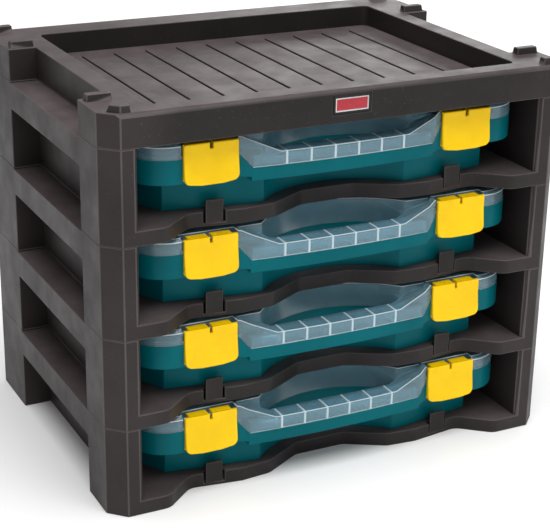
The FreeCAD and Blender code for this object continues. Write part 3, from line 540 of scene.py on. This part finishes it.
def calm_upright_edges(piece):
    """Gives the rounded upright edges of a piece the finish of its faces again."""
    shape = bmesh.new()
    shape.from_mesh(piece.data)
    for face in shape.faces:
        longest = max(face.edges, key=lambda edge: edge.calc_length())
        rise = abs(longest.verts[0].co.z - longest.verts[1].co.z)
        if rise > UPRIGHT_SHARE * longest.calc_length():
            face.material_index = FACE_SLOT
    shape.to_mesh(piece.data)
    shape.free()


def put_on(piece, node, body, materials):
    """Gives a finished piece its finishes and the body that it rides on, and hides its CAD node."""
    for material in materials:
        piece.data.materials.append(material)
    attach(piece, body)
    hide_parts(node)


def dress_rack_piece(node, name, wanted=anywhere):
    """Rounds and finishes a black piece of the rack, with its edges worn and painted paler as a highlight.
    """
    piece = take_solid(node, name)
    put_on(piece, node, "rack", rack_materials())
    round_edges(piece, rack_finish().edge_round, FINE_STEPS, wanted, EDGE_SLOT)


def off_the_front_line(place):
    """Whether a place on the tray is off the upper line of its slanted front edge, beside the lugs."""
    return abs(place.y - FRONT_LINE) > NEAR


class ORGANISER_OT_dress_tray(bpy.types.Operator):
    """Rounds and finishes the tray on top of the rack"""

    bl_idname = "organiser.dress_tray"
    bl_label = "Dress the tray"

    def execute(self, context):
        dress_rack_piece("top_tray", "tray_skin", off_the_front_line)
        return {"FINISHED"}


class ORGANISER_OT_dress_modules(bpy.types.Operator):
    """Rounds and finishes the shelf modules"""

    bl_idname = "organiser.dress_modules"
    bl_label = "Dress the shelf modules"

    def execute(self, context):
        for level in LEVELS:
            dress_rack_piece("shelf_module_%d" % level, "shelf_skin_%d" % level)
        return {"FINISHED"}


class ORGANISER_OT_dress_tongues(bpy.types.Operator):
    """Rounds and finishes the stop tongues in the shelves' lips"""

    bl_idname = "organiser.dress_tongues"
    bl_label = "Dress the stop tongues"

    def execute(self, context):
        for level in LEVELS:
            dress_rack_piece("stop_tongues_%d" % level, "tongue_skin_%d" % level)
        return {"FINISHED"}


class ORGANISER_OT_dress_plate(bpy.types.Operator):
    """Frames and finishes the blank plate on the tray's front"""

    bl_idname = "organiser.dress_plate"
    bl_label = "Dress the blank plate"

    def execute(self, context):
        finish = case_finish()
        piece = take_solid("label_plate", "blank_plate")
        put_on(piece, "label_plate", "rack", [
            rack_materials()[FACE_SLOT],
            finish_named("plate_rim", plate_plastic, "plate_rim", finish.plate_rim, RIM_METAL),
            finish_named("plate_red", plate_plastic, "plate_red", finish.label, 0.0),
        ])
        round_edges(piece, PLATE_ROUND, PLATE_STEPS)
        bpy.ops.object.mode_set(mode="EDIT")
        bpy.ops.mesh.select_mode(type="FACE")
        bpy.ops.mesh.select_all(action="DESELECT")
        bpy.ops.object.mode_set(mode="OBJECT")
        front = max(piece.data.polygons, key=lambda face: -face.normal.y * face.area)
        front.select = True
        bpy.ops.object.mode_set(mode="EDIT")
        for slot, border, sink in PLATE_BORDERS:
            bpy.ops.mesh.inset(thickness=border, depth=sink)
            piece.active_material_index = slot
            bpy.ops.object.material_slot_assign()
        bpy.ops.object.mode_set(mode="OBJECT")
        return {"FINISHED"}


def off_the_grip_seat(base):
    """A test for places on a base that are off the seat of the lid's round wall."""
    seat = min(span(base, Z)) + SEAT_RISE

    def wanted(place):
        behind = GRIP_FRONT + NEAR < place.y < SEAT_BACK and abs(place.x) < SEAT_HALF
        return place.z < seat or not behind

    return wanted


class ORGANISER_OT_dress_bases(bpy.types.Operator):
    """Rounds and finishes the teal bases of the cases"""

    bl_idname = "organiser.dress_bases"
    bl_label = "Dress the case bases"

    def execute(self, context):
        finish = case_finish()
        for level in LEVELS:
            node = "case_base_%d" % level
            piece = take_solid(node, "base_skin_%d" % level)
            put_on(piece, node, "case_%d" % level,
                   [finish_named("teal_plastic", teal_plastic)])
            round_edges(piece, finish.edge_round, finish.rounding_steps, off_the_grip_seat(piece))
        return {"FINISHED"}


def off_the_underside(lid):
    """A test for places on a lid that lie on its handle's front or over its underside."""
    parting = max(span(lid, Z)) - LID_DEPTH

    def wanted(place):
        return place.z > parting + HIDDEN_LEDGE or place.y < HANDLE_FRONT

    return wanted


class ORGANISER_OT_dress_lids(bpy.types.Operator):
    """Rounds and finishes the clear lids of the cases"""

    bl_idname = "organiser.dress_lids"
    bl_label = "Dress the case lids"

    def execute(self, context):
        finish = case_finish()
        for level in LEVELS:
            node = "case_lid_%d" % level
            piece = take_solid(node, "lid_skin_%d" % level)
            put_on(piece, node, "case_%d" % level,
                   [finish_named("lid_plastic", lid_plastic),
                    finish_named("lid_highlight_plastic", lid_highlight_plastic)])
            round_edges(piece, finish.edge_round * LID_ROUND_SHARE, finish.rounding_steps,
                        off_the_underside(piece), EDGE_SLOT, LID_SHARP)
            calm_upright_edges(piece)
        return {"FINISHED"}


def arc(middle, radius, start, stop, steps):
    """Points along an arc, as pairs of x and z, between two angles in degrees."""
    turns = [math.radians(start + (stop - start) * step / steps) for step in range(steps + 1)]
    return [(middle[0] + radius * math.cos(turn), middle[1] + radius * math.sin(turn)) for turn in turns]


def latch_outline(half, low, top):
    """A latch's face seen from the front: a slit in the top and a bowed foot with round corners."""
    head = (half - LATCH_TOP_CORNER, top - LATCH_TOP_CORNER)
    foot = (half - LATCH_CORNER, low + FOOT_BOW + LATCH_CORNER)
    right = [(SLIT_HALF, top - SLIT_DEPTH), (SLIT_HALF, top)]
    right += arc(head, LATCH_TOP_CORNER, 90, 0, LATCH_TOP_STEPS)
    right += arc(foot, LATCH_CORNER, 0, -90, LATCH_CORNER_STEPS)
    right += [(half * FOOT_WIDTH_SHARE, low + FOOT_BOW * FOOT_BOW_SHARE)]
    return right + [(-x, z) for x, z in reversed(right)]


def add_skin(latch, outline, middle, front):
    """Adds a closed skin of the outline to a latch in edit mode, and leaves it selected."""
    bpy.ops.mesh.primitive_circle_add(vertices=len(outline), fill_type="NGON", calc_uvs=False)
    shape = bmesh.from_edit_mesh(latch.data)
    ring = [vert for vert in shape.verts if vert.select]
    for vert, (x, z) in zip(ring, outline):
        vert.co = (middle + x, front, z)
    bmesh.update_edit_mesh(latch.data)
    bpy.ops.mesh.extrude_region_move(TRANSFORM_OT_translate={"value": (0, LATCH_SKIN, 0)})
    bpy.ops.mesh.select_linked()
    bpy.ops.mesh.normals_make_consistent(inside=False)


def face_latch(latch):
    """Gives a latch its face, which flares out over its whole width towards the foot."""
    left, right = span(latch, X)
    low, top = span(latch, Z)
    reach = min(span(latch, Y))
    front = min(vert.co.y for vert in latch.data.vertices if vert.co.z > top - NEAR)
    cut = front + LATCH_SKIN - NEAR
    flare = low + FOOT_RISE
    bpy.ops.object.mode_set(mode="EDIT")
    bpy.ops.mesh.select_all(action="SELECT")
    bpy.ops.mesh.bisect(plane_co=(0, cut, 0), plane_no=(0, -1, 0), use_fill=True, clear_outer=True)
    add_skin(latch, latch_outline((right - left) / 2, low, top), (left + right) / 2, front)
    bpy.ops.mesh.bisect(plane_co=(0, 0, flare), plane_no=(0, 0, 1))
    shape = bmesh.from_edit_mesh(latch.data)
    for vert in shape.verts:
        if vert.co.y < front + NEAR and vert.co.z < flare:
            vert.co.y -= (front - reach) * (flare - vert.co.z) / FOOT_RISE
    bmesh.update_edit_mesh(latch.data)
    bpy.ops.object.mode_set(mode="OBJECT")
    return front


def on_the_face(front):
    """A test for places on a latch that lie on its face."""

    def wanted(place):
        return place.y < front + NEAR

    return wanted


class ORGANISER_OT_dress_latches(bpy.types.Operator):
    """Shapes, rounds and finishes the yellow latches"""

    bl_idname = "organiser.dress_latches"
    bl_label = "Dress the latches"

    def execute(self, context):
        finish = case_finish()
        for level in LEVELS:
            for side in SIDES:
                node = "latch_%s_%d" % (side, level)
                piece = take_solid(node, "latch_skin_%s_%d" % (side, level))
                put_on(piece, node, node,
                       [finish_named("latch_plastic", latch_plastic)])
                front = face_latch(piece)
                round_edges(piece, finish.edge_round * LATCH_ROUND_SHARE, FINE_STEPS, on_the_face(front))
        return {"FINISHED"}


def aim_camera(settings):
    """The camera's matrix from its place, its turn, its tilt and its roll."""
    turn, tilt, roll = settings.azimuth, settings.elevation, settings.roll
    ahead = Vector((math.cos(tilt) * math.sin(turn), math.cos(tilt) * math.cos(turn), -math.sin(tilt)))
    right = Vector((math.cos(turn), -math.sin(turn), 0.0))
    above = right.cross(ahead)
    level_right = right * math.cos(roll) + above * math.sin(roll)
    level_above = above * math.cos(roll) - right * math.sin(roll)
    turned = Matrix((level_right, level_above, -ahead)).transposed().to_4x4()
    return Matrix.Translation(settings.camera_place) @ turned


def studio_paper():
    """Matte paper with a faint cloud in it."""
    nodes = Nodes("studio_paper")
    nodes.drive("Base Color", nodes.patches(3.0, 4.0, studio().floor, 0.99, 1.01))
    nodes.set("Roughness", 0.9)
    return nodes.material


def add_floor():
    """Adds the floor, which is no piece of the rack."""
    bpy.ops.object.select_all(action="DESELECT")
    bpy.ops.mesh.primitive_plane_add(size=FLOOR_SIZE, location=(0, 0, 0))
    floor = bpy.context.object
    floor.name = "studio_floor"
    floor.data.materials.append(studio_paper())


def add_lamp(name, setting, power):
    """Adds a square or oblong lamp at its place, turned towards the rack."""
    place, size = setting
    bpy.ops.object.light_add(type="AREA", location=place)
    lamp = bpy.context.object
    lamp.name = name
    lamp.data.shape = "RECTANGLE"
    lamp.data.size, lamp.data.size_y = size
    lamp.data.energy = power
    lamp.rotation_euler = (Vector(AIM) - Vector(place)).to_track_quat("-Z", "Y").to_euler()


def add_air(strength):
    """Adds an even white light from all round."""
    world = bpy.data.worlds.new("studio_air")
    world.use_nodes = True
    background = world.node_tree.nodes["Background"]
    background.inputs["Color"].default_value = (1.0, 1.0, 1.0, 1.0)
    background.inputs["Strength"].default_value = strength
    bpy.context.scene.world = world


def add_camera(settings):
    """Adds the camera and looks through it."""
    camera_data = bpy.data.cameras.new("studio_camera")
    camera_data.lens = settings.lens
    camera_data.sensor_width = SENSOR_WIDTH
    camera = bpy.data.objects.new("studio_camera", camera_data)
    bpy.context.scene.collection.objects.link(camera)
    camera.matrix_world = aim_camera(settings)
    bpy.context.scene.camera = camera


class ORGANISER_OT_set_studio(bpy.types.Operator):
    """Sets up the floor, the lamps and the camera"""

    bl_idname = "organiser.set_studio"
    bl_label = "Set up the studio"

    def execute(self, context):
        settings = studio()
        add_floor()
        add_lamp("key_lamp", KEY_LAMP, settings.key_power)
        add_lamp("fill_lamp", FILL_LAMP, settings.fill_power)
        add_lamp("right_lamp", RIGHT_LAMP, settings.fill_power * RIGHT_SHARE)
        add_lamp("back_lamp", BACK_LAMP, settings.back_power)
        add_air(settings.air)
        add_camera(settings)
        context.scene.view_settings.view_transform = "Standard"
        return {"FINISHED"}


class VIEW3D_PT_organiser_rack(bpy.types.Panel):
    """Lists the steps and the finishes"""

    bl_label = "Organiser Rack"
    bl_space_type = "VIEW_3D"
    bl_region_type = "UI"
    bl_category = "Organiser Rack"

    def draw(self, context):
        for step in STEPS:
            self.layout.operator(step.bl_idname)
        for group in (rack_finish(), case_finish(), studio()):
            box = self.layout.box()
            for name in group.__annotations__:
                box.prop(group, name)


STEPS = (
    ORGANISER_OT_dress_tray,
    ORGANISER_OT_dress_modules,
    ORGANISER_OT_dress_tongues,
    ORGANISER_OT_dress_plate,
    ORGANISER_OT_dress_bases,
    ORGANISER_OT_dress_lids,
    ORGANISER_OT_dress_latches,
    ORGANISER_OT_set_studio,
)
GROUPS = (RackFinish, CaseFinish, StudioSettings)
CLASSES = GROUPS + STEPS + (VIEW3D_PT_organiser_rack,)


def register():
    for entry in CLASSES:
        bpy.utils.register_class(entry)
    bpy.types.Scene.rack_finish = PointerProperty(type=RackFinish)
    bpy.types.Scene.case_finish = PointerProperty(type=CaseFinish)
    bpy.types.Scene.studio_settings = PointerProperty(type=StudioSettings)


def unregister():
    del bpy.types.Scene.studio_settings
    del bpy.types.Scene.case_finish
    del bpy.types.Scene.rack_finish
    for entry in reversed(CLASSES):
        bpy.utils.unregister_class(entry)


def main():
    register()
    bpy.ops.organiser.dress_tray()
    bpy.ops.organiser.dress_modules()
    bpy.ops.organiser.dress_tongues()
    bpy.ops.organiser.dress_plate()
    bpy.ops.organiser.dress_bases()
    bpy.ops.organiser.dress_lids()
    bpy.ops.organiser.dress_latches()
    bpy.ops.organiser.set_studio()


if __name__ == "__main__":
    main()
